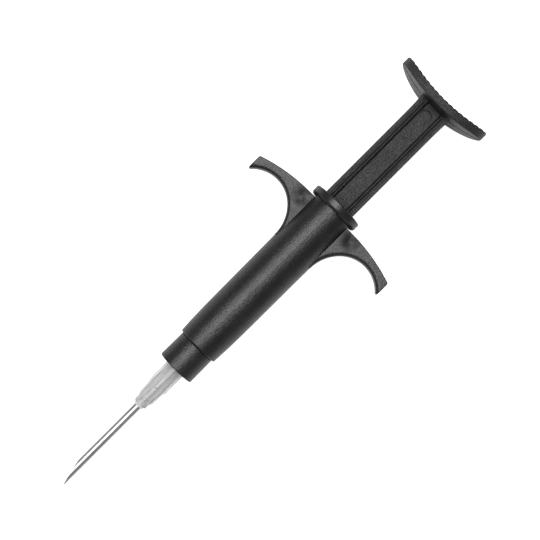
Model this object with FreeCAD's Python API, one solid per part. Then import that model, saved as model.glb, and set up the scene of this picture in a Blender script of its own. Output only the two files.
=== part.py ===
import FreeCAD
import Part
import math
import os

# Hand injector for small implants, with a sprung plunger, a Luer-lock needle and two finger wings.
# Every piece is drawn along the X axis about a datum: x = 0 is the barrel's rear face, the needle
# points to -X and the thumb rest to +X. The wings lie in the XY plane. Lengths are in millimetres.

# ---- driving dimensions -------------------------------------------------------------------------

# barrel, one moulding with its two finger wings
barrel_length = 56.4
barrel_bore_r = 6.2
barrel_rear_wall = 1.27
spring_bore_step = 0.6          # the bore narrows by this ahead of the plunger's reach
spring_bore_length = 6.4
front_wall = 4.0
nose_side_wall = 1.17           # wall around the narrow bore at the barrel's front face
nose_swell_length = 10.2        # the nose end swells over this length, then only the draft is left
nose_swell_mid = 0.26
nose_swell = 0.4
nose_rim_round = 0.45
neck_wall = 0.7                 # the rear neck that the end cap is pressed on
neck_length = 2.2

# finger wings
wing_thickness = 6.0
finger_r = 10.54                # the hook that a finger lies in
finger_over_barrel = 0.67       # from the barrel's side to the hook's lowest point
wing_tip_past_finger = 8.44     # from the hook's middle out to the wing's flat end
wing_web = 4.1                  # from the hook's rearmost point to the wings' rear plane
root_blend_extra = 2.46         # how much larger the root's arc is than the hook
wing_root_sink = 0.08           # the root's arc starts this far under the barrel's skin
wing_rear_r = 56.0
wing_rear_flat = 9.0            # half of the flat stretch across the wings' rear
wing_tip_round = 0.7
wing_finger_round = 1.25        # along the hook, where the finger pulls
wing_edge_round = 0.3

# end cap, the collar behind the wings
cap_gap = 0.57
cap_length = 2.73
cap_wall = 1.57
cap_draft = 0.1
cap_web = 1.0
cap_front_round = 0.95
cap_rear_round = 0.3
cap_mouth_chamfer = 0.3

# plunger shaft section, a stepped H: heights from the middle plane, widths in from each side
shaft_edge_z = 2.3
shaft_ledge_z = 2.05
shaft_groove_z = 1.35
shaft_rib_z = 2.55
shaft_web_z = 0.45
shaft_edge_width = 1.04
shaft_ledge_in = 1.19
shaft_groove_outer_in = 1.59
shaft_groove_inner_in = 2.04
shaft_rib_outer_in = 2.14
shaft_rib_inner_in = 2.39
shaft_floor_in = 2.99
shaft_flare = 0.2               # how far each side widens where it runs into the thumb rest
shaft_flare_length = 7.0
shaft_flare_depth = 0.84        # how deep the flare reaches into the side
pin_mark_r = 1.85               # ejector pin witness in the floor of the shaft
pin_mark_depth = 0.33
pin_mark_from_pad = 3.55
pin_mark_off_axis = 0.3

# thumb rest, moulded with the shaft
pad_stop_gap = 2.8              # left between it and the end cap when the plunger is all the way in
pad_half_length = 16.5
pad_half_depth = 8.4
pad_thickness = 2.9
pad_under_radius = 46.5
pad_rim_round = 0.55
grip_pitch = 1.92
grip_depth = 0.3
grip_skim = 0.03                # the bars stand this much below the plate's own face
parting_line_width = 0.5
parting_line_depth = 0.22
parting_line_z = 0.9

# foot that joins the shaft and the push rod
foot_guide_length = 4.5
foot_length = 9.7
foot_end_gap = 0.5              # left ahead of the foot when the plunger is all the way in
tongue_wall = 1.5
tongue_length = 6.7

# push rod and its nut
rod_thread_r = 1.5
rod_thread_grip = 4.0
rod_thread_spare = 0.6
nut_across_flats = 5.5
nut_thickness = 2.4
rod_stop_behind_point = 0.2

# return spring and the washer it pushes on
spring_wire_r = 0.3
spring_turns = 12.0
spring_gap = 0.35               # between the spring and the narrow bore around it
spring_spigot_gap = 0.15        # between the spring and the foot's spigot inside it
washer_thickness = 0.4
washer_gap = 0.2

# Luer core, held in the barrel's front wall
core_flange_thickness = 1.2
core_flange_ledge = 1.05
core_journal_r = 3.2
core_journal_length = 2.6
ring_groove_width = 0.6
ring_groove_depth = 0.4
core_nose_length = 0.3
luer_base_r = 2.25
luer_length = 9.5
luer_taper = 0.03               # change of radius for each mm of length: a 6 percent taper

# lock collar that turns on the core
collar_length = 9.1
collar_gap = 0.2
collar_wall = 1.86
collar_draft = 0.12
collar_edge_round = 0.3
collar_web = 2.2
thread_length = 5.3
thread_lead = 5.0
thread_starts = 2
thread_crest_r = 3.5
thread_depth = 0.55
thread_root_width = 1.5
thread_flank = 0.12             # each flank leans out by this much at the crest
relief_depth = 0.25

# retaining ring
ring_thickness = 0.5
ring_opening_half_angle = 32.0

# needle hub
hub_gap = 1.0                   # from the core's nose to the hub's mouth when the needle is tight
hub_socket_depth = 8.7
hub_socket_wall = 0.43
hub_tube_draft = 0.1
hub_rear_ring_length = 1.5
hub_grip_rise = 0.04
hub_grip_front = 12.5           # hub stations, counted forward from its mouth
hub_step_length = 0.5
hub_shoulder = 17.3
hub_neck = 18.4
hub_front = 19.8
hub_neck_wall = 0.39
hub_neck_step = 0.11
hub_fore_fin = 0.54
hub_fore_draft = 0.07
hub_fin_width = 1.0
lug_thickness = 0.5
lug_half_angle = 18.0

# cannula and its bond
cannula_r = 1.205
cannula_wall = 0.305
cannula_in_hub = 5.0
cannula_beyond_hub = 32.9
bevel_angle = 13.6
point_angle = 21.0
point_turn = 38.0
point_start_y = -0.12           # where the two point facets cross the first bevel
bond_thickness = 0.595
bond_well_depth = 1.2
bond_dome_rise = 0.12
bond_dome_length = 0.9

# clearances between pieces
running_clearance = 0.08        # foot in the bore
shaft_clearance = 0.3           # shaft in the end cap's hole
shaft_bore_clearance = 0.248    # shaft's corners in the barrel's bore
seat_clearance = 0.05           # pressed, screwed and tapered seats, each side
foot_stop_gap = 0.1             # foot to the end cap's web at rest
turning_clearance = 0.1         # lock collar on its journal
thread_clearance = 0.2          # hub and lugs in the lock collar's thread
ring_clearance = 0.25           # retaining ring in the lock collar's relief
hub_bore_clearance = 0.095      # cannula in the hub's passage
rod_clearance = 0.15            # push rod in the cannula
rod_core_clearance = 0.25       # push rod in the core
overcut = 1.0                   # how far a cut runs past the face it opens

# ---- helpers ------------------------------------------------------------------------------------

axis_x = FreeCAD.Vector(1, 0, 0)
origin = FreeCAD.Vector(0, 0, 0)


def at(x, y=0.0, z=0.0):
    return FreeCAD.Vector(x, y, z)


def turned(points):
    """Solid of revolution about X from (x, radius) corners."""
    corners = [at(x, 0, r) for x, r in points]
    face = Part.Face(Part.makePolygon(corners + corners[:1]))
    return face.revolve(origin, axis_x, 360)


def rod_along_x(x_start, x_end, radius):
    return Part.makeCylinder(radius, x_end - x_start, at(x_start), axis_x)


def extruded_section(corners, x_start, x_end):
    """Prism along X from (y, z) corners."""
    ring = [at(x_start, y, z) for y, z in corners]
    return Part.Face(Part.makePolygon(ring + ring[:1])).extrude(at(x_end - x_start))


def is_rim(edge, x, radius):
    curve = edge.Curve
    if not isinstance(curve, Part.Circle):
        return False
    return abs(curve.Center.x - x) < 1e-4 and abs(curve.Radius - radius) < 1e-4


def round_rim(shape, x, radius, fillet):
    """Round the circular edge of that radius at that x."""
    rims = [edge for edge in shape.Edges if is_rim(edge, x, radius)]
    return shape.makeFillet(fillet, rims)


def mirrored_in_xz(shape):
    return shape.mirror(origin, FreeCAD.Vector(0, 1, 0))


# ---- radii that follow from the sizes above -----------------------------------------------------

spring_bore_r = barrel_bore_r - spring_bore_step
barrel_front_r = spring_bore_r + nose_side_wall
barrel_rear_r = barrel_bore_r + barrel_rear_wall
neck_r = barrel_bore_r + neck_wall
cap_front_r = neck_r + seat_clearance + cap_wall
cap_rear_r = cap_front_r + cap_draft
shaft_corner_r = barrel_bore_r - shaft_bore_clearance
shaft_half_width = math.sqrt(shaft_corner_r ** 2 - shaft_edge_z ** 2)
spring_mean_r = spring_bore_r - spring_gap - spring_wire_r
foot_spigot_r = spring_mean_r - spring_wire_r - spring_spigot_gap
tongue_half_width = foot_spigot_r - tongue_wall
washer_r = spring_bore_r - washer_gap
core_spigot_r = spring_bore_r - core_flange_ledge
ring_groove_r = core_journal_r - ring_groove_depth
thread_root_r = thread_crest_r + thread_depth
relief_r = thread_root_r + relief_depth
collar_front_r = relief_r + collar_wall
collar_rear_r = collar_front_r - collar_draft
ring_outer_r = relief_r - ring_clearance
hub_rear_r = thread_crest_r - thread_clearance
lug_r = thread_root_r - thread_clearance
hub_grip_r = hub_rear_r + hub_grip_rise
hub_tube_rear_r = luer_base_r + hub_socket_wall
cannula_bore_r = cannula_r - cannula_wall
hub_passage_r = cannula_r + hub_bore_clearance
bond_well_r = cannula_r + bond_thickness
bond_dome_r = bond_well_r + bond_dome_rise
hub_neck_r = bond_well_r + hub_neck_wall
hub_tube_front_r = hub_neck_r + hub_neck_step
hub_fore_front_r = hub_tube_front_r + hub_fore_fin
hub_fore_rear_r = hub_fore_front_r + hub_fore_draft
rod_r = cannula_bore_r - rod_clearance
core_bore_r = rod_r + rod_core_clearance

# ---- stations along the axis, and the finger hook's middle --------------------------------------

barrel_front_x = -barrel_length
spring_bore_end_x = barrel_front_x + front_wall
bore_step_x = spring_bore_end_x + spring_bore_length
cap_front_x = cap_gap
cap_rear_x = cap_gap + cap_length
cap_web_x = cap_rear_x - cap_web
foot_rear_x = cap_web_x - foot_stop_gap
foot_shoulder_x = foot_rear_x - foot_guide_length
foot_front_x = foot_rear_x - foot_length
tongue_front_x = foot_rear_x - tongue_length
nut_front_x = foot_front_x - nut_thickness
plunger_travel = foot_front_x - foot_end_gap - bore_step_x
pad_x = cap_rear_x + plunger_travel + pad_stop_gap
core_rear_x = spring_bore_end_x + core_flange_thickness
washer_rear_x = core_rear_x + washer_thickness
collar_rear_x = barrel_front_x - collar_gap
collar_front_x = collar_rear_x - collar_length
journal_front_x = barrel_front_x - core_journal_length
ring_groove_front_x = journal_front_x - ring_groove_width
core_nose_x = ring_groove_front_x - core_nose_length
hub_mouth_x = core_nose_x - hub_gap
hub_front_x = hub_mouth_x - hub_front
cannula_rear_x = hub_front_x + cannula_in_hub
needle_point_x = hub_front_x - cannula_beyond_hub
rod_tip_x = needle_point_x + rod_stop_behind_point + plunger_travel
wing_root_y = barrel_rear_r - wing_root_sink
finger_x = -wing_web - finger_r
finger_y = wing_root_y + finger_r + finger_over_barrel
wing_reach = finger_y + wing_tip_past_finger


# ---- barrel -------------------------------------------------------------------------------------

def wing():
    """Finger wing on the +Y side: a flat hook with rounded edges, run into the barrel."""
    root_y = wing_root_y
    root_blend_r = finger_r + root_blend_extra
    reach = root_blend_extra
    rise = finger_y - root_y - root_blend_r
    blend_x = finger_x - math.sqrt(reach ** 2 - rise ** 2)
    blend_y = root_y + root_blend_r
    toward_x = (finger_x - blend_x) / reach
    toward_y = (finger_y - blend_y) / reach
    join = at(blend_x + root_blend_r * toward_x, blend_y + root_blend_r * toward_y)
    root = at(blend_x, root_y)
    half_turn = math.atan2(join.y - blend_y, join.x - blend_x) / 2 - math.pi / 4
    blend_mid = at(blend_x + root_blend_r * math.cos(half_turn), blend_y + root_blend_r * math.sin(half_turn))
    tip_front = at(finger_x + math.sqrt(finger_r ** 2 - (wing_reach - finger_y) ** 2), wing_reach)
    finger_mid = at(finger_x + finger_r, finger_y)
    rear_centre_x = -wing_rear_r
    tip_rear = at(rear_centre_x + math.sqrt(wing_rear_r ** 2 - (wing_reach - wing_rear_flat) ** 2), wing_reach)
    half_rise = math.asin((wing_reach - wing_rear_flat) / wing_rear_r) / 2
    rear_mid = at(rear_centre_x + wing_rear_r * math.cos(half_rise),
                  wing_rear_flat + wing_rear_r * math.sin(half_rise))
    rear_root = at(0, wing_rear_flat)
    inner_y = barrel_bore_r / 2
    outline = Part.Wire([
        Part.Arc(root, blend_mid, join).toShape(),
        Part.Arc(join, finger_mid, tip_front).toShape(),
        Part.LineSegment(tip_front, tip_rear).toShape(),
        Part.Arc(tip_rear, rear_mid, rear_root).toShape(),
        Part.LineSegment(rear_root, at(0, inner_y)).toShape(),
        Part.LineSegment(at(0, inner_y), at(blend_x, inner_y)).toShape(),
        Part.LineSegment(at(blend_x, inner_y), root).toShape(),
    ])
    plate = Part.Face(outline).extrude(at(0, 0, wing_thickness))
    plate.translate(at(0, 0, -wing_thickness / 2))

    def upright_at(corner):
        return [e for e in plate.Edges
                if all(abs(v.X - corner.x) < 1e-4 and abs(v.Y - corner.y) < 1e-4 for v in e.Vertexes)]

    plate = plate.makeFillet(wing_tip_round, upright_at(tip_rear))
    hook_edges = [e for e in plate.Edges
                  if isinstance(e.Curve, Part.Circle) and e.BoundBox.ZLength < 1e-4
                  and min(abs(e.Curve.Radius - r) for r in (finger_r, root_blend_r)) < 1e-4]
    plate = plate.makeFillet(wing_finger_round, hook_edges)
    long_edges = [e for e in plate.Edges
                  if e.BoundBox.ZLength < 1e-4 and e.BoundBox.ZMax ** 2 > (wing_thickness / 2) ** 2 - 1e-4
                  and e.BoundBox.YMax > root_y + 0.5 and e.BoundBox.XMin > tip_rear.x - wing_edge_round]
    tip_edges = [e for e in plate.Edges if e.BoundBox.YMin > wing_reach - 1e-4]
    return plate.makeFillet(wing_edge_round, long_edges + tip_edges)


def barrel():
    lead_start = at(barrel_front_x, 0, barrel_front_r)
    lead_mid = at(barrel_front_x + nose_swell_length / 2, 0, barrel_front_r + nose_swell_mid)
    lead_end = at(barrel_front_x + nose_swell_length, 0, barrel_front_r + nose_swell)
    corners = [lead_end, at(0, 0, barrel_rear_r), at(0, 0, neck_r), at(neck_length, 0, neck_r),
               at(neck_length), at(barrel_front_x), lead_start]
    edges = [Part.Arc(lead_start, lead_mid, lead_end).toShape()]
    for start, end in zip(corners, corners[1:]):
        edges.append(Part.LineSegment(start, end).toShape())
    body = Part.Face(Part.Wire(edges)).revolve(origin, axis_x, 360)
    body = round_rim(body, barrel_front_x, barrel_front_r, nose_rim_round)
    right = wing()
    body = body.fuse([right, mirrored_in_xz(right)])
    bore = turned([
        (neck_length + overcut, 0), (neck_length + overcut, barrel_bore_r), (bore_step_x, barrel_bore_r),
        (bore_step_x, spring_bore_r), (spring_bore_end_x, spring_bore_r),
        (spring_bore_end_x, core_spigot_r + seat_clearance),
        (barrel_front_x - overcut, core_spigot_r + seat_clearance), (barrel_front_x - overcut, 0),
    ])
    return body.cut(bore).removeSplitter()


# ---- end cap ------------------------------------------------------------------------------------

def end_cap():
    """Collar pressed on the barrel's neck; its web stops the foot and keys the shaft."""
    body = turned([
        (cap_front_x, neck_r + seat_clearance), (cap_front_x, cap_front_r),
        (cap_rear_x, cap_rear_r), (cap_rear_x, 0), (cap_web_x, 0),
        (cap_web_x, neck_r + seat_clearance),
    ])
    body = round_rim(body, cap_front_x, cap_front_r, cap_front_round)
    body = round_rim(body, cap_rear_x, cap_rear_r, cap_rear_round)
    half_z = shaft_rib_z + shaft_clearance
    half_y = shaft_half_width + shaft_clearance
    hole_r = shaft_corner_r + shaft_clearance
    slab = Part.makeBox(cap_web + 2 * overcut, half_y * 2, half_z * 2,
                        at(cap_web_x - overcut, -half_y, -half_z))
    hole = slab.common(rod_along_x(cap_web_x - overcut, cap_rear_x + overcut, hole_r))
    body = body.cut(hole)
    mouth = [e for e in body.Edges
             if e.BoundBox.XLength < 1e-4 and abs(e.BoundBox.XMin - cap_rear_x) < 1e-4
             and max(v.Point.sub(at(cap_rear_x)).Length for v in e.Vertexes) < hole_r + seat_clearance]
    return body.makeChamfer(cap_mouth_chamfer, mouth)


# ---- plunger ------------------------------------------------------------------------------------

def shaft_section():
    """Stepped H section as (y, z) corners, built from one quarter and its mirror images."""
    steps = [
        (shaft_floor_in, shaft_web_z), (shaft_rib_inner_in, shaft_rib_z), (shaft_rib_outer_in, shaft_rib_z),
        (shaft_groove_inner_in, shaft_groove_z), (shaft_groove_outer_in, shaft_groove_z),
        (shaft_groove_outer_in, shaft_ledge_z), (shaft_ledge_in, shaft_ledge_z),
        (shaft_edge_width, shaft_edge_z), (0, shaft_edge_z),
    ]
    quarter = [(0, shaft_web_z)] + [(shaft_half_width - inward, z) for inward, z in steps]
    upper = quarter[::-1][:-1] + [(-y, z) for y, z in quarter]
    return upper + [(y, -z) for y, z in reversed(upper)]


def pad_arc(radius, half_angle):
    """Arc about the thumb rest's centre of curvature, in the XY plane."""
    centre_x = pad_x + pad_under_radius
    end_x = centre_x - radius * math.cos(half_angle)
    end_y = radius * math.sin(half_angle)
    return at(end_x, -end_y), at(centre_x - radius), at(end_x, end_y)


def grip_cutter(half_angle):
    """What is left out of the thumb face, so that low rounded bars stand between shallow notches."""
    centre_x = pad_x + pad_under_radius
    crest_radius = pad_under_radius - pad_thickness + grip_skim
    count = round(2 * half_angle * crest_radius / grip_pitch)
    step = 2 * half_angle / count
    edges = []
    for index in range(count):
        start = half_angle - index * step
        points = []
        for angle, cut_in in ((start, grip_depth), (start - step / 2, 0), (start - step, grip_depth)):
            reach = crest_radius + cut_in
            points.append(at(centre_x - reach * math.cos(angle), reach * math.sin(angle)))
        edges.append(Part.Arc(*points).toShape())
    top = edges[0].Vertexes[0].Point
    bottom = edges[-1].Vertexes[-1].Point
    for start, end in ((bottom, at(centre_x, bottom.y)), (at(centre_x, bottom.y), at(centre_x, top.y)),
                       (at(centre_x, top.y), top)):
        edges.append(Part.LineSegment(start, end).toShape())
    cutter = Part.Face(Part.Wire(edges)).extrude(at(0, 0, 4 * pad_half_depth))
    cutter.translate(at(0, 0, -2 * pad_half_depth))
    return cutter


def curved_slab(outer_radius, inner_radius, half_angle, depth):
    """Slab between two arcs about the thumb rest's centre of curvature, centred on the XY plane."""
    outer = pad_arc(outer_radius, half_angle)
    inner = pad_arc(inner_radius, half_angle)
    edges = [Part.Arc(*outer).toShape(), Part.LineSegment(outer[2], inner[2]).toShape(),
             Part.Arc(*inner).toShape(), Part.LineSegment(inner[0], outer[0]).toShape()]
    slab = Part.Face(Part.Wire(edges)).extrude(at(0, 0, depth))
    slab.translate(at(0, 0, -depth / 2))
    return slab


def thumb_rest():
    """Dished oval plate with rounded rims, a barred face and the mould's parting line below."""
    half_angle = math.asin((pad_half_length + 1.5 * overcut) / pad_under_radius)
    slab = curved_slab(pad_under_radius, pad_under_radius - pad_thickness, half_angle, 4 * pad_half_depth)
    plan = Part.Ellipse(origin, pad_half_length, pad_half_depth).toShape()
    plan.rotate(origin, FreeCAD.Vector(0, 1, 0), 90)
    plan.rotate(origin, axis_x, 90)
    column = Part.Face(Part.Wire(plan)).extrude(at(pad_half_length))
    column.translate(at(pad_x - 2 * overcut))
    plate = slab.common(column)
    rims = [e for e in plate.Edges if e.BoundBox.YLength > 1.9 * pad_half_length]
    plate = plate.makeFillet(pad_rim_round, rims)
    parting = curved_slab(pad_under_radius + overcut, pad_under_radius - parting_line_depth, half_angle,
                          parting_line_width)
    parting.translate(at(0, 0, parting_line_z))
    return plate.cut([grip_cutter(half_angle), parting])


def plunger():
    """Shaft and thumb rest in one moulding, with a tongue in front that plugs into the foot."""
    overlap = pad_thickness / 2
    shaft = extruded_section(shaft_section(), foot_rear_x, pad_x + overlap)
    flare_start = at(pad_x - shaft_flare_length, shaft_half_width)
    flare_mid = at(pad_x - shaft_flare_length / 2, shaft_half_width + shaft_flare / 4)
    flare_end = at(pad_x, shaft_half_width + shaft_flare)
    flare_deep = at(pad_x + overlap, shaft_half_width + shaft_flare)
    flare_inner_y = shaft_half_width - shaft_flare_depth
    flare_inner = [flare_deep, at(pad_x + overlap, flare_inner_y),
                   at(flare_start.x, flare_inner_y), flare_start]
    flare_edges = [Part.Arc(flare_start, flare_mid, flare_end).toShape(),
                   Part.LineSegment(flare_end, flare_deep).toShape()]
    for start, end in zip(flare_inner, flare_inner[1:]):
        flare_edges.append(Part.LineSegment(start, end).toShape())
    flare = Part.Face(Part.Wire(flare_edges)).extrude(at(0, 0, 2 * shaft_edge_z))
    flare.translate(at(0, 0, -shaft_edge_z))
    tongue = Part.makeBox(tongue_length + overcut / 2, 2 * tongue_half_width, 2 * shaft_edge_z,
                          at(tongue_front_x, -tongue_half_width, -shaft_edge_z))
    body = shaft.fuse([flare, mirrored_in_xz(flare), tongue, thumb_rest()])
    tail_hole = rod_along_x(tongue_front_x - overcut, tongue_front_x + rod_thread_grip + rod_thread_spare / 2,
                            rod_thread_r + seat_clearance)
    mark_x = pad_x - pin_mark_from_pad
    mark = Part.makeCylinder(pin_mark_r, shaft_web_z,
                             at(mark_x, pin_mark_off_axis, shaft_web_z - pin_mark_depth))
    return body.cut([tail_hole, mark]).removeSplitter()


# ---- foot, rod and nut --------------------------------------------------------------------------

def plunger_foot():
    body = turned([
        (foot_rear_x, 0), (foot_rear_x, barrel_bore_r - running_clearance),
        (foot_shoulder_x, barrel_bore_r - running_clearance), (foot_shoulder_x, foot_spigot_r),
        (foot_front_x, foot_spigot_r), (foot_front_x, 0),
    ])
    half_y = tongue_half_width + seat_clearance
    half_z = shaft_edge_z + seat_clearance
    socket = Part.makeBox(tongue_length + overcut, 2 * half_y, 2 * half_z,
                          at(tongue_front_x, -half_y, -half_z))
    rod_hole = rod_along_x(foot_front_x - overcut, foot_rear_x, rod_thread_r + seat_clearance)
    return body.cut([socket, rod_hole])


def push_rod():
    tail_front_x = nut_front_x - rod_thread_spare
    tail_rear_x = tongue_front_x + rod_thread_grip
    tip_chamfer = rod_r / 4
    return turned([
        (rod_tip_x, 0), (rod_tip_x, rod_r - tip_chamfer), (rod_tip_x + tip_chamfer, rod_r),
        (tail_front_x - rod_thread_r + rod_r, rod_r), (tail_front_x, rod_thread_r),
        (tail_rear_x, rod_thread_r), (tail_rear_x, 0),
    ])


def rod_nut():
    corner_r = nut_across_flats / math.sqrt(3)
    hexagon = [(corner_r * math.cos(math.radians(60 * i)), corner_r * math.sin(math.radians(60 * i)))
               for i in range(6)]
    block = extruded_section(hexagon, nut_front_x, foot_front_x)
    chamfer = corner_r - nut_across_flats / 2
    envelope = turned([
        (nut_front_x, 0), (nut_front_x, corner_r - chamfer), (nut_front_x + chamfer / 2, corner_r),
        (foot_front_x - chamfer / 2, corner_r), (foot_front_x, corner_r - chamfer), (foot_front_x, 0),
    ])
    hole = rod_along_x(nut_front_x - overcut, foot_front_x + overcut, rod_thread_r + seat_clearance)
    return block.common(envelope).cut(hole)


# ---- spring, washer -----------------------------------------------------------------------------

def spring_seat():
    ring = rod_along_x(core_rear_x, washer_rear_x, washer_r)
    return ring.cut(rod_along_x(core_rear_x - overcut, washer_rear_x + overcut, core_bore_r))


def helix_along_x(lead, length, radius, x_start):
    path = Part.makeHelix(lead, length, radius)
    path.rotate(origin, FreeCAD.Vector(0, 1, 0), 90)
    path.translate(at(x_start))
    return path


def return_spring():
    """Open coil spring between the washer and the foot's shoulder, as long as it is at rest."""
    room = foot_shoulder_x - washer_rear_x
    length = room - 2 * (spring_wire_r + seat_clearance)
    start_x = washer_rear_x + spring_wire_r + seat_clearance
    path = helix_along_x(length / spring_turns, length, spring_mean_r, start_x)
    start = path.Vertexes[0].Point
    lead_angle = math.atan2(length / spring_turns, 2 * math.pi * spring_mean_r)
    outward = start.sub(at(start.x)).normalize()
    along = axis_x.cross(outward) * math.cos(lead_angle) + axis_x * math.sin(lead_angle)
    upright = along.cross(outward)
    # The wire has twelve flats with the round wire's own area, which keeps its surface simple.
    flats = 12
    corner_r = spring_wire_r * math.sqrt(2 * math.pi / (flats * math.sin(2 * math.pi / flats)))
    ring = []
    for index in range(flats):
        angle = 2 * math.pi * index / flats
        ring.append(start + outward * (corner_r * math.cos(angle)) + upright * (corner_r * math.sin(angle)))
    section = Part.makePolygon(ring + ring[:1])
    return Part.Wire(path).makePipeShell([section], True, True)


# ---- Luer core and lock collar ------------------------------------------------------------------

def luer_radius(x):
    """Radius of the male taper at a station ahead of the core's nose."""
    return luer_base_r - luer_taper * (core_nose_x - x)


def luer_core():
    tip_x = core_nose_x - luer_length
    body = turned([
        (core_rear_x, 0), (core_rear_x, spring_bore_r - seat_clearance),
        (spring_bore_end_x, spring_bore_r - seat_clearance), (spring_bore_end_x, core_spigot_r),
        (barrel_front_x, core_spigot_r), (barrel_front_x, core_journal_r),
        (journal_front_x, core_journal_r), (journal_front_x, ring_groove_r),
        (ring_groove_front_x, ring_groove_r), (ring_groove_front_x, core_journal_r),
        (core_nose_x, core_journal_r), (core_nose_x, luer_base_r), (tip_x, luer_radius(tip_x)), (tip_x, 0),
    ])
    return body.cut(rod_along_x(tip_x - overcut, core_rear_x + overcut, core_bore_r))


def thread_half_width(radius):
    """Half the groove's width along X at a radius, wider towards the crest."""
    flank = thread_flank / (thread_root_r - thread_crest_r)
    return thread_root_width / 2 + flank * (thread_root_r - radius)


def thread_angle(x, start_number):
    """Angle about X, from +Y, at which a start's middle passes that x; start 0 meets the +Y lug."""
    lug_x = hub_mouth_x - lug_thickness / 2
    return 360.0 * (x - lug_x) / thread_lead + 360.0 * start_number / thread_starts


def quiet_angle():
    """Angle for the blank's seam line, well away from where the flanks meet the thread's two ends."""
    half = 360.0 * thread_half_width(thread_crest_r) / thread_lead
    corners = []
    for x in (collar_front_x, collar_front_x + thread_length):
        for number in range(thread_starts):
            corners += [thread_angle(x, number) - half, thread_angle(x, number) + half]
    return max(range(0, 360, 5), key=lambda angle: min(abs((angle - c + 180) % 360 - 180) for c in corners))


def thread_groove(start_number):
    """One start of the collar's inner thread, open at the front face and at the relief behind."""
    inner_r = thread_crest_r - thread_clearance
    inner_half = thread_half_width(inner_r)
    root_half = thread_half_width(thread_root_r)
    start_x = collar_front_x - 2 * inner_half
    end_x = collar_rear_x - collar_web - inner_half - seat_clearance
    path = helix_along_x(thread_lead, end_x - start_x, thread_crest_r, start_x)
    first = path.Vertexes[0].Point
    outward = first.sub(at(first.x)).normalize()
    corners = [(-root_half, thread_root_r), (root_half, thread_root_r),
               (inner_half, inner_r), (-inner_half, inner_r)]
    ring = [at(first.x + along) + outward * radius for along, radius in corners]
    profile = Part.makePolygon(ring + ring[:1])
    groove = Part.Wire(path).makePipeShell([profile], True, True)
    drawn_angle = math.degrees(math.atan2(first.z, first.y))
    groove.rotate(origin, axis_x, thread_angle(start_x, start_number) - drawn_angle)
    return groove


def lock_collar():
    """Collar that turns on the core's journal and draws the hub's lugs in with an inner thread."""
    thread_end_x = collar_front_x + thread_length
    web_front_x = collar_rear_x - collar_web
    body = turned([
        (collar_front_x, thread_crest_r), (collar_front_x, collar_front_r), (collar_rear_x, collar_rear_r),
        (collar_rear_x, core_journal_r + turning_clearance), (web_front_x, core_journal_r + turning_clearance),
        (web_front_x, relief_r), (thread_end_x, relief_r), (thread_end_x, thread_crest_r),
    ])
    body = round_rim(body, collar_front_x, collar_front_r, collar_edge_round)
    body = round_rim(body, collar_rear_x, collar_rear_r, collar_edge_round / 2)
    body.rotate(origin, axis_x, quiet_angle() - 90)
    return body.cut([thread_groove(number) for number in range(thread_starts)])


def collar_retaining_ring():
    front_x = journal_front_x - (ring_groove_width + ring_thickness) / 2
    ring = rod_along_x(front_x, front_x + ring_thickness, ring_outer_r)
    hole = rod_along_x(front_x - overcut, front_x + overcut, ring_groove_r + seat_clearance)
    reach = 2 * ring_outer_r
    spread = reach * math.tan(math.radians(ring_opening_half_angle))
    opening = extruded_section([(0, 0), (spread, -reach), (-spread, -reach)],
                               front_x - overcut, front_x + overcut)
    return ring.cut([hole, opening])


# ---- needle -------------------------------------------------------------------------------------

def hub_fin(outline):
    """Fin on the +Z side from (distance ahead of the mouth, radius) corners."""
    corners = [at(hub_mouth_x - ahead, -hub_fin_width / 2, r) for ahead, r in outline]
    return Part.Face(Part.makePolygon(corners + corners[:1])).extrude(at(0, hub_fin_width, 0))


def needle_hub():
    mouth = hub_mouth_x
    socket_end_x = mouth - hub_socket_depth
    body = turned([
        (mouth, 0), (mouth, hub_rear_r), (mouth - hub_rear_ring_length, hub_rear_r),
        (mouth - hub_rear_ring_length, hub_tube_rear_r),
        (mouth - hub_grip_front, hub_tube_rear_r - hub_tube_draft),
        (mouth - hub_shoulder, hub_tube_front_r), (mouth - hub_neck, hub_neck_r),
        (hub_front_x, hub_neck_r), (hub_front_x, 0),
    ])
    inside = hub_passage_r + 3 * hub_bore_clearance
    fin = [
        (lug_thickness, inside), (lug_thickness, hub_rear_r), (hub_rear_ring_length, hub_rear_r),
        (hub_grip_front, hub_grip_r),
        (hub_grip_front + hub_step_length, hub_fore_rear_r), (hub_shoulder, hub_fore_front_r),
        (hub_neck - thread_clearance, hub_neck_r), (hub_neck - thread_clearance, inside),
    ]
    fins = []
    for quarter_turn in range(4):
        piece = hub_fin(fin)
        piece.rotate(origin, axis_x, 90 * quarter_turn)
        fins.append(piece)
    lug_ring = rod_along_x(mouth - lug_thickness, mouth, lug_r)
    lug_reach = 2 * lug_r
    lug_spread = lug_reach * math.tan(math.radians(lug_half_angle))
    wedge = [(0, 0), (lug_reach, lug_spread), (lug_reach, -lug_spread)]
    lug = lug_ring.common(extruded_section(wedge, mouth - lug_thickness, mouth))
    body = body.fuse(fins + [lug, mirrored_in_xz(lug)])
    passage = turned([
        (mouth + overcut, 0), (mouth + overcut, luer_radius(mouth + overcut) + seat_clearance),
        (socket_end_x, luer_radius(socket_end_x) + seat_clearance), (socket_end_x, hub_passage_r),
        (cannula_rear_x, hub_passage_r), (cannula_rear_x, cannula_r + seat_clearance / 2),
        (hub_front_x + bond_well_depth, cannula_r + seat_clearance / 2),
        (hub_front_x, bond_well_r), (hub_front_x - overcut, bond_well_r), (hub_front_x - overcut, 0),
    ])
    return body.cut(passage).removeSplitter()


def hub_bond():
    """Bead of epoxy that fills the hub's well and climbs the cannula."""
    return turned([
        (hub_front_x + bond_well_depth, cannula_r), (hub_front_x, bond_well_r),
        (hub_front_x, bond_dome_r), (hub_front_x - bond_dome_length * 0.55, bond_dome_r * 0.86),
        (hub_front_x - bond_dome_length, cannula_r + bond_dome_rise),
        (hub_front_x - bond_dome_length, cannula_r),
    ])


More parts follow.
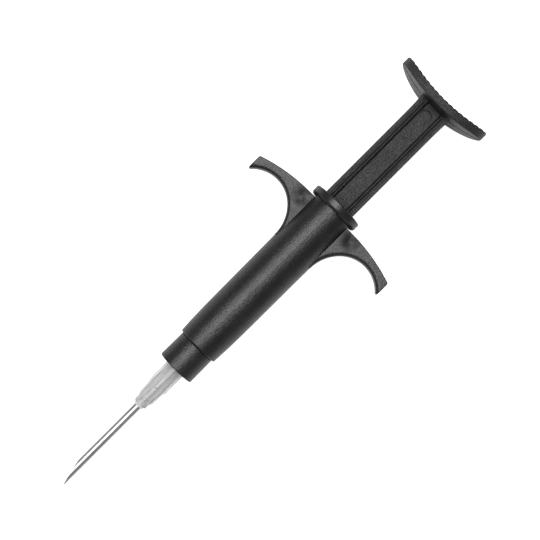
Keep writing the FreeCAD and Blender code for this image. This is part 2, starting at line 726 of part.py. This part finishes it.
def bevel_block(angle, pass_x, pass_y, turn):
    """Half space, as a big box, that grinds the cannula's +Y side; turned about the axis."""
    size = 40.0
    block = Part.makeBox(size, size, size, at(-size, 0, -size / 2))
    block.translate(at(size / 2))
    block.rotate(origin, FreeCAD.Vector(0, 0, 1), angle)
    block.translate(at(pass_x, pass_y))
    block.rotate(origin, axis_x, turn)
    return block


def cannula():
    """Thin steel tube with a first bevel and two facets that make the point."""
    tube = rod_along_x(needle_point_x, cannula_rear_x, cannula_r)
    tube = tube.cut(rod_along_x(needle_point_x - overcut, cannula_rear_x + overcut, cannula_bore_r))
    slope = math.tan(math.radians(bevel_angle))
    point_slope = math.tan(math.radians(point_angle))
    cross_x = needle_point_x + (point_start_y + cannula_r) / point_slope
    first = bevel_block(bevel_angle, cross_x - point_start_y / slope, 0, 0)
    left = bevel_block(point_angle, needle_point_x, -cannula_r, point_turn)
    right = bevel_block(point_angle, needle_point_x, -cannula_r, -point_turn)
    return tube.cut(first).cut(left.common(right))


# ---- build and write ----------------------------------------------------------------------------

pieces = {
    "barrel": barrel(),
    "end_cap": end_cap(),
    "plunger": plunger(),
    "plunger_foot": plunger_foot(),
    "push_rod": push_rod(),
    "rod_nut": rod_nut(),
    "return_spring": return_spring(),
    "spring_seat": spring_seat(),
    "luer_core": luer_core(),
    "lock_collar": lock_collar(),
    "collar_retaining_ring": collar_retaining_ring(),
    "needle_hub": needle_hub(),
    "hub_bond": hub_bond(),
    "cannula": cannula(),
}

# The row's origin is the middle of the whole object's box, so the tool axis stays on the X axis.
whole = Part.makeCompound(list(pieces.values())).optimalBoundingBox()
middle = (whole.XMin + whole.XMax) / 2
print("shift of the datum along X:", round(-middle, 4))
print("overall:", round(whole.XLength, 3), round(whole.YLength, 3), round(whole.ZLength, 3))

os.makedirs("parts", exist_ok=True)
for name, shape in pieces.items():
    shape.translate(at(-middle))
    print(name, shape.isValid(), len(shape.Solids), round(shape.Volume, 3))
    shape.exportStep("parts/" + name + ".step")
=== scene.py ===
import math

import bmesh
import bpy
from mathutils import Matrix, Vector


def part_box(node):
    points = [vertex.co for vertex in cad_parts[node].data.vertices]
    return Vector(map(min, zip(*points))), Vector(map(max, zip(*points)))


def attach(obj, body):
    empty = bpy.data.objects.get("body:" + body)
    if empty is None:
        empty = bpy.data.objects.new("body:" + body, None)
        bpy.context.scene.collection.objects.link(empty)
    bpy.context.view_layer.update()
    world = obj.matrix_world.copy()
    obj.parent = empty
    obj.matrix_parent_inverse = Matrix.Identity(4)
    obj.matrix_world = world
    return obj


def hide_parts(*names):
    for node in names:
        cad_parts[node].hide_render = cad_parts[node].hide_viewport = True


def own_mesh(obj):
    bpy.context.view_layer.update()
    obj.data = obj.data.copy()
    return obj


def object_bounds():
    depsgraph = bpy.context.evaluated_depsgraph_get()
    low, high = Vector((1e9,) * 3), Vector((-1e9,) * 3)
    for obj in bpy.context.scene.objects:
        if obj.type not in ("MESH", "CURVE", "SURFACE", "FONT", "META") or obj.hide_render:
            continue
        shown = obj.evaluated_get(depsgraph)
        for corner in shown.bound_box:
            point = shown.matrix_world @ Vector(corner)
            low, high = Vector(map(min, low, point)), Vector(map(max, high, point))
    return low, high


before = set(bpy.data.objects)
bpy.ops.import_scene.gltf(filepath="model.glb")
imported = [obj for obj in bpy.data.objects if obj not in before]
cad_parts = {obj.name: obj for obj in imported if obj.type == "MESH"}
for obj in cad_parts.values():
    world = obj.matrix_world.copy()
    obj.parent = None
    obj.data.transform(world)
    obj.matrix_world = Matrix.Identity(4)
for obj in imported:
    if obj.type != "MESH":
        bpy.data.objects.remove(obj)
cad_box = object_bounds()


# ---- Barrel and finger wings --------------------------------------------------------------------
# One black nylon moulding: a slightly tapered tube with a finger hook on each side. The mould was
# spark-eroded, so its skin is an even fine grain. Where each wing's flat face meets the barrel it is duller
# and painted darker: painted shade in that corner.

BARREL_BLACK = (0.0150, 0.0151, 0.0154)
BARREL_GLOSS_ROUGHNESS = 0.27
# Centre and reach of the painted shade and duller gloss where each wing's flat face meets the barrel.
ROOT_PAINTED_SHADE_PLACE = (0.0297, 0.0097, 0.003)     # where each wing's flat face meets the barrel
ROOT_PAINTED_SHADE_REACH = 0.0042


def new_material(name):
    material = bpy.data.materials.new(name)
    material.use_nodes = True
    nodes = material.node_tree.nodes
    shader = nodes["Principled BSDF"]
    return material, nodes, material.node_tree.links, shader


def noise(nodes, links, vector, scale, detail=2.0, roughness=0.5):
    texture = nodes.new("ShaderNodeTexNoise")
    texture.inputs["Scale"].default_value = scale
    texture.inputs["Detail"].default_value = detail
    texture.inputs["Roughness"].default_value = roughness
    links.new(vector, texture.inputs["Vector"])
    return texture.outputs["Fac"]


def ramp(nodes, links, value, low, high, from_low=0.3, from_high=0.7):
    """Spreads a value from one range to another."""
    node = nodes.new("ShaderNodeMapRange")
    node.inputs["From Min"].default_value = from_low
    node.inputs["From Max"].default_value = from_high
    node.inputs["To Min"].default_value = low
    node.inputs["To Max"].default_value = high
    links.new(value, node.inputs["Value"])
    return node.outputs["Result"]


def bump(nodes, links, height, distance, strength):
    node = nodes.new("ShaderNodeBump")
    node.inputs["Distance"].default_value = distance
    node.inputs["Strength"].default_value = strength
    links.new(height, node.inputs["Height"])
    return node.outputs["Normal"]


def two_tone(nodes, links, factor, dark, light):
    node = nodes.new("ShaderNodeMix")
    node.data_type = "RGBA"
    node.inputs["A"].default_value = (*dark, 1.0)
    node.inputs["B"].default_value = (*light, 1.0)
    links.new(factor, node.inputs["Factor"])
    return node.outputs["Result"]


GRAIN_PER_M = 2300.0
PATCHES_PER_M = 190.0
DULL_ROUGHNESS = 0.5


def band(nodes, links, value, middle, half_width, soft):
    """One inside a strip of a value and nothing outside it."""
    away = nodes.new("ShaderNodeMath")
    away.operation = "SUBTRACT"
    away.inputs[1].default_value = middle
    links.new(value, away.inputs[0])
    size = nodes.new("ShaderNodeMath")
    size.operation = "ABSOLUTE"
    links.new(away.outputs["Value"], size.inputs[0])
    return ramp(nodes, links, size.outputs["Value"], 1.0, 0.0, half_width - soft, half_width + soft)


def combine(nodes, links, operation, first, second):
    node = nodes.new("ShaderNodeMath")
    node.operation = operation
    for socket, value in zip(node.inputs, (first, second)):
        if isinstance(value, (int, float)):
            socket.default_value = value
        else:
            links.new(value, socket)
    return node.outputs["Value"]


def mirrored_place(nodes, links):
    """Where a point is, and the same place with each coordinate counted outward from the middle."""
    place = nodes.new("ShaderNodeTexCoord").outputs["Object"]
    mirrored = nodes.new("ShaderNodeVectorMath")
    mirrored.operation = "ABSOLUTE"
    links.new(place, mirrored.inputs[0])
    return place, mirrored.outputs["Vector"]


def black_moulding(name, colour, roughness, grain_slope, dull_and_shaded_spots=None):
    """Black moulded plastic: eroded grain, slow patches in its gloss and tone, and given places duller and
    painted darker as shade.
    """
    material, nodes, links, shader = new_material(name)
    place, mirrored = mirrored_place(nodes, links)
    grain = noise(nodes, links, place, GRAIN_PER_M, 3.0, 0.65)
    patches = noise(nodes, links, place, PATCHES_PER_M, 3.0, 0.6)
    light = tuple(c * 1.5 for c in colour)
    dark = tuple(c * 0.75 for c in colour)
    gloss = ramp(nodes, links, patches, roughness + 0.05, roughness - 0.04)
    blend = ramp(nodes, links, patches, 0.0, 1.0)
    # The given places get a rougher gloss, and their colour is darkened as painted shade.
    if dull_and_shaded_spots is not None:
        dullness_and_painted_shade = dull_and_shaded_spots(nodes, links, place, mirrored)
        gloss = combine(nodes, links, "ADD", gloss, combine(nodes, links, "MULTIPLY", dullness_and_painted_shade, DULL_ROUGHNESS))
        blend = combine(nodes, links, "SUBTRACT", blend, dullness_and_painted_shade)
    links.new(two_tone(nodes, links, blend, dark, light), shader.inputs["Base Color"])
    links.new(gloss, shader.inputs["Roughness"])
    grain_depth = grain_slope / (0.5 * GRAIN_PER_M)
    links.new(bump(nodes, links, grain, grain_depth, 1.0), shader.inputs["Normal"])
    shader.inputs["IOR"].default_value = 1.5
    return material


def wing_root_dullness_and_painted_shade(nodes, links, place, mirrored):
    """A duller, mottled patch where each wing's flat face thickens into the barrel, painted darker as shade
    in that corner.
    """
    away = nodes.new("ShaderNodeVectorMath")
    away.operation = "DISTANCE"
    away.inputs[1].default_value = ROOT_PAINTED_SHADE_PLACE
    links.new(mirrored, away.inputs[0])
    spot = ramp(nodes, links, away.outputs["Value"], 1.0, 0.0, ROOT_PAINTED_SHADE_REACH * 0.2, ROOT_PAINTED_SHADE_REACH)
    mottle = ramp(nodes, links, noise(nodes, links, place, 380.0), 0.1, 1.6)
    return combine(nodes, links, "MULTIPLY", spot, mottle)


def dress(node_name, material):
    """Gives a carried-over piece its finish."""
    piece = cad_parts[node_name]
    piece.data.materials.clear()
    piece.data.materials.append(material)


dress("barrel", black_moulding("black_barrel_moulding", BARREL_BLACK, BARREL_GLOSS_ROUGHNESS, 0.15,
                               wing_root_dullness_and_painted_shade))

# ---- End cap ------------------------------------------------------------------------------------
# The low collar pressed on the barrel's rear neck, from the same black plastic. Its mould was finer,
# so it is smoother than the barrel.

dress("end_cap", black_moulding("black_end_cap_moulding", BARREL_BLACK, 0.28, 0.07))

# ---- Lock collar --------------------------------------------------------------------------------
# The plain nose ring that turns on the core and draws the needle in. Same black plastic, no knurl.

dress("lock_collar", black_moulding("black_nose_ring_moulding", BARREL_BLACK, 0.27, 0.15))

# ---- Plunger ------------------------------------------------------------------------------------
# One black moulding: a stepped-H shaft, grainy in its floor, and the dished thumb rest with its
# row of low bars. The floor keeps the mould's coarser texture. Its grooves, the rest's parting line and the
# ejector pin's ring are duller and painted darker: painted shade.

# Where the plunger's painted shade lies: its two shaft grooves, the rest's parting line and the ejector
# pin's ring.
SHAFT_GROOVE_Y = 0.00368
SHAFT_GROOVE_HALF_WIDTH = 0.00026
PARTING_LINE_Z = 0.0009
PARTING_LINE_HALF_WIDTH = 0.0004
PAD_FRONT_X = 0.0752
EJECTOR_MARK_PLACE = (0.0724, 0.0003)
EJECTOR_MARK_RADIUS = 0.00188


def plunger_dullness_and_painted_shade(nodes, links, place, mirrored):
    """Painted shade with a duller gloss: the shaft's two narrow grooves, the rest's parting line and the
    ejector pin's ring, darker towards +X.
    """
    outward = nodes.new("ShaderNodeSeparateXYZ")
    links.new(mirrored, outward.inputs[0])
    where = nodes.new("ShaderNodeSeparateXYZ")
    links.new(place, where.inputs[0])
    on_pad = combine(nodes, links, "GREATER_THAN", where.outputs["X"], PAD_FRONT_X)
    on_shaft = combine(nodes, links, "SUBTRACT", 1.0, on_pad)
    # Painted shade in the shaft's two narrow grooves, with a duller gloss.
    groove = band(nodes, links, outward.outputs["Y"], SHAFT_GROOVE_Y, SHAFT_GROOVE_HALF_WIDTH, 0.00006)
    # Painted shade: a dark band round the rest at this height stands for the shade in the parting-line
    # groove, also where no groove is cut.
    parting = band(nodes, links, where.outputs["Z"], PARTING_LINE_Z, PARTING_LINE_HALF_WIDTH, 0.0001)
    flat = nodes.new("ShaderNodeCombineXYZ")
    links.new(where.outputs["X"], flat.inputs["X"])
    links.new(where.outputs["Y"], flat.inputs["Y"])
    from_pin = nodes.new("ShaderNodeVectorMath")
    from_pin.operation = "DISTANCE"
    from_pin.inputs[1].default_value = (*EJECTOR_MARK_PLACE, 0.0)
    links.new(flat.outputs["Vector"], from_pin.inputs[0])
    # Painted shade round the ejector pin's shallow recess: a dark crescent, strongest on its +X side, where
    # the recess wall is turned away from the softbox.
    ring = band(nodes, links, from_pin.outputs["Value"], EJECTOR_MARK_RADIUS, 0.00016, 0.0001)
    behind = ramp(nodes, links, where.outputs["X"], 0.25, 1.3, EJECTOR_MARK_PLACE[0] - EJECTOR_MARK_RADIUS,
                  EJECTOR_MARK_PLACE[0] + EJECTOR_MARK_RADIUS)
    ring = combine(nodes, links, "MULTIPLY", ring, behind)
    shaft_dullness_and_painted_shade = combine(nodes, links, "MULTIPLY", combine(nodes, links, "MAXIMUM", groove, ring), on_shaft)
    return combine(nodes, links, "MAXIMUM", shaft_dullness_and_painted_shade, combine(nodes, links, "MULTIPLY", parting, on_pad))


dress("plunger", black_moulding("black_plunger_moulding", BARREL_BLACK, 0.30, 0.32,
                                plunger_dullness_and_painted_shade))

# ---- Foot, core, washer, ring, rod and nut --------------------------------------------------------
# The inner pieces: an acetal foot, a grey core, a stamped steel washer and ring, a drawn steel rod and
# a turned brass nut. They show only when the tool is taken apart, but for the core's taper.


def plain_plastic(name, colour, roughness):
    material, nodes, links, shader = new_material(name)
    place = nodes.new("ShaderNodeTexCoord").outputs["Object"]
    grain = noise(nodes, links, place, 2600.0, 2.0, 0.5)
    cloud = noise(nodes, links, place, 130.0, 2.0, 0.5)
    dark = tuple(c * 0.9 for c in colour)
    links.new(two_tone(nodes, links, cloud, dark, colour), shader.inputs["Base Color"])
    links.new(ramp(nodes, links, grain, roughness - 0.04, roughness + 0.05), shader.inputs["Roughness"])
    links.new(bump(nodes, links, grain, 0.00002, 0.4), shader.inputs["Normal"])
    return material


def drawn_metal(name, colour, roughness, stretch):
    """Metal with fine lines along X, as drawing or turning leaves them."""
    material, nodes, links, shader = new_material(name)
    place = nodes.new("ShaderNodeTexCoord").outputs["Object"]
    mapping = nodes.new("ShaderNodeMapping")
    mapping.inputs["Scale"].default_value = stretch
    links.new(place, mapping.inputs["Vector"])
    lines = noise(nodes, links, mapping.outputs["Vector"], 900.0, 3.0, 0.6)
    cloud = noise(nodes, links, place, 240.0, 2.0, 0.5)
    dark = tuple(c * 0.82 for c in colour)
    links.new(two_tone(nodes, links, cloud, dark, colour), shader.inputs["Base Color"])
    links.new(ramp(nodes, links, lines, roughness - 0.06, roughness + 0.08), shader.inputs["Roughness"])
    links.new(bump(nodes, links, lines, 0.000008, 0.5), shader.inputs["Normal"])
    shader.inputs["Metallic"].default_value = 1.0
    return material


dress("plunger_foot", plain_plastic("natural_acetal", (0.62, 0.62, 0.59), 0.35))
dress("luer_core", plain_plastic("grey_core_plastic", (0.40, 0.40, 0.40), 0.3))
dress("spring_seat", drawn_metal("stamped_washer_steel", (0.52, 0.52, 0.51), 0.35, (1.0, 1.0, 1.0)))
dress("collar_retaining_ring", drawn_metal("blued_ring_steel", (0.2, 0.2, 0.22), 0.4, (1.0, 1.0, 1.0)))
dress("push_rod", drawn_metal("drawn_rod_steel", (0.6, 0.6, 0.59), 0.22, (0.03, 1.0, 1.0)))
dress("rod_nut", drawn_metal("turned_nut_brass", (0.72, 0.53, 0.25), 0.28, (1.0, 0.1, 0.1)))

# ---- Return spring -------------------------------------------------------------------------------
# A coil of round music wire inside the barrel, with one closed turn at each end. It stands between the
# washer and the foot's shoulder, pushes the plunger back, and shortens as the plunger goes in.

SPRING_WIRE_R = 0.0003
SPRING_MEAN_R = 0.00495
SPRING_OPEN_TURNS = 12
SPRING_CLOSED_PITCH = 0.00062
SPRING_STEPS_PER_TURN = 40
SPRING_RING = 12
SPRING_END_GAP = 0.00005


def spring_line(front_x, rear_x):
    """Points along the wire's middle: a closed turn, the open turns, and a closed turn again."""
    open_pitch = (rear_x - front_x - 2 * SPRING_CLOSED_PITCH) / SPRING_OPEN_TURNS
    points = []
    along = front_x
    turns = SPRING_OPEN_TURNS + 2
    for step in range(turns * SPRING_STEPS_PER_TURN + 1):
        turn = step / SPRING_STEPS_PER_TURN
        angle = math.tau * turn
        points.append(Vector((along, SPRING_MEAN_R * math.cos(angle), SPRING_MEAN_R * math.sin(angle))))
        closed = turn < 1 or turn >= turns - 1
        along += (SPRING_CLOSED_PITCH if closed else open_pitch) / SPRING_STEPS_PER_TURN
    return points


def tube_mesh(name, points, radius, ring_count):
    """A closed round tube along a line of points that turns about X."""
    vertices, faces = [], []
    for index, point in enumerate(points):
        heading = (points[min(index + 1, len(points) - 1)] - points[max(index - 1, 0)]).normalized()
        outward = Vector((0.0, point.y, point.z)).normalized()
        upright = heading.cross(outward).normalized()
        for corner in range(ring_count):
            angle = math.tau * corner / ring_count
            vertices.append(point + radius * (math.cos(angle) * outward + math.sin(angle) * upright))
    for index in range(len(points) - 1):
        for corner in range(ring_count):
            following = (corner + 1) % ring_count
            a, b = index * ring_count + corner, index * ring_count + following
            faces.append((a, b, b + ring_count, a + ring_count))
    faces.append(tuple(reversed(range(ring_count))))
    last = (len(points) - 1) * ring_count
    faces.append(tuple(range(last, last + ring_count)))
    mesh = bpy.data.meshes.new(name)
    mesh.from_pydata(vertices, [], faces)
    mesh.validate()
    normals_fix = bmesh.new()
    normals_fix.from_mesh(mesh)
    bmesh.ops.recalc_face_normals(normals_fix, faces=normals_fix.faces)
    normals_fix.to_mesh(mesh)
    normals_fix.free()
    mesh.polygons.foreach_set("use_smooth", [True] * len(mesh.polygons))
    return mesh


spring_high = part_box("return_spring")[1]
washer_face_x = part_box("spring_seat")[1].x
line = spring_line(washer_face_x + SPRING_WIRE_R + SPRING_END_GAP, spring_high.x - SPRING_WIRE_R)
return_coil = bpy.data.objects.new("return_coil", tube_mesh("return_coil", line, SPRING_WIRE_R, SPRING_RING))
bpy.context.scene.collection.objects.link(return_coil)
return_coil.data.materials.append(
    drawn_metal("spring_wire_steel", (0.42, 0.42, 0.42), 0.3, (1.0, 1.0, 1.0)))
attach(return_coil, "barrel")
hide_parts("return_spring")
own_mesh(return_coil)

# ---- Needle hub, bond and cannula ----------------------------------------------------------------
# A clear polypropylene hub with four fins and two lugs, the epoxy bead that holds the cannula, and a
# polished 13 gauge steel tube ground to a three-facet point.


def clear_hub_plastic():
    material, nodes, links, shader = new_material("clear_hub_plastic")
    place = nodes.new("ShaderNodeTexCoord").outputs["Object"]
    haze = noise(nodes, links, place, 300.0, 2.0, 0.5)
    links.new(two_tone(nodes, links, haze, (0.80, 0.80, 0.80), (0.93, 0.93, 0.93)),
              shader.inputs["Base Color"])
    links.new(ramp(nodes, links, haze, 0.16, 0.26), shader.inputs["Roughness"])
    links.new(bump(nodes, links, haze, 0.000006, 0.3), shader.inputs["Normal"])
    shader.inputs["Transmission Weight"].default_value = 0.62
    shader.inputs["IOR"].default_value = 1.34
    return material


dress("needle_hub", clear_hub_plastic())
dress("hub_bond", plain_plastic("cured_epoxy", (0.78, 0.78, 0.76), 0.18))
dress("cannula", drawn_metal("polished_needle_steel", (0.64, 0.64, 0.64), 0.44, (0.02, 1.0, 1.0)))

# ---- Floor, lights and camera --------------------------------------------------------------------
# The tool lies flat on a plain white table under one wide softbox, in a room that is dim at eye
# level and pale behind, so that black plastic keeps one soft highlight along its crown.

AXIS_TURN = math.radians(45)
CAMERA_PLACE = Vector((0.00132, 0.0, 0.3886))
AIM = Vector((0.00687, 0.00075, 0.0))
LENS = 86.4
TABLE_GLOW_SEEN = 0.85
TABLE_GLOW_REFLECTED = 0.05
SOFTBOX_PLACE = (0.03, 0.19, 1.0)
SOFTBOX_ACROSS = 0.62
SOFTBOX_ALONG = 0.85
SOFTBOX_RADIANCE = 6.2
ROOM_DIM = 0.15
ROOM_PALE = 0.95

table_z = cad_box[0].z - 0.0005
bpy.ops.mesh.primitive_plane_add(size=6.0, location=(0.0, 0.0, table_z))
table = bpy.context.object
table.name = "table"
table_paint, nodes, links, shader = new_material("table_white")
shader.inputs["Base Color"].default_value = (0.9, 0.9, 0.9, 1.0)
shader.inputs["Roughness"].default_value = 0.9
shader.inputs["Emission Color"].default_value = (1.0, 1.0, 1.0, 1.0)
seen = nodes.new("ShaderNodeLightPath").outputs["Is Camera Ray"]
links.new(ramp(nodes, links, seen, TABLE_GLOW_REFLECTED, TABLE_GLOW_SEEN, 0.0, 1.0),
          shader.inputs["Emission Strength"])
table.data.materials.append(table_paint)

camera_data = bpy.data.cameras.new("camera")
camera_data.lens = LENS
camera_data.sensor_width = 36.0
camera = bpy.data.objects.new("camera", camera_data)
bpy.context.scene.collection.objects.link(camera)
back = (CAMERA_PLACE - AIM).normalized()
along = Vector((math.cos(AXIS_TURN), -math.sin(AXIS_TURN), 0.0))
picture_right = (along - back * along.dot(back)).normalized()
picture_up = back.cross(picture_right)
camera.matrix_world = Matrix.Translation(CAMERA_PLACE) @ Matrix(
    (picture_right, picture_up, back)).transposed().to_4x4()
bpy.context.scene.camera = camera

room = bpy.data.worlds.new("room")
bpy.context.scene.world = room
room.use_nodes = True
nodes, links = room.node_tree.nodes, room.node_tree.links
seen = nodes.new("ShaderNodeLightPath").outputs["Is Camera Ray"]
links.new(ramp(nodes, links, seen, ROOM_DIM, ROOM_PALE, 0.0, 1.0), nodes["Background"].inputs["Strength"])
nodes["Background"].inputs["Color"].default_value = (1.0, 1.0, 1.0, 1.0)


def softbox(name, place, aim, across, length, radiance):
    """A rectangular lamp, its long side along X, given by how bright its face is."""
    lamp = bpy.data.lights.new(name, "AREA")
    lamp.shape = "RECTANGLE"
    lamp.size, lamp.size_y = length, across
    lamp.energy = radiance * math.pi * across * length
    piece = bpy.data.objects.new(name, lamp)
    bpy.context.scene.collection.objects.link(piece)
    back = (Vector(place) - Vector(aim)).normalized()
    side = Vector((1.0, 0.0, 0.0))
    side = (side - back * side.dot(back)).normalized()
    piece.matrix_world = Matrix.Translation(Vector(place)) @ Matrix(
        (side, back.cross(side), back)).transposed().to_4x4()


softbox("softbox_over_tool", SOFTBOX_PLACE, (0.0, 0.0, 0.0), SOFTBOX_ACROSS, SOFTBOX_ALONG, SOFTBOX_RADIANCE)

bpy.context.scene.view_settings.view_transform = "Standard"
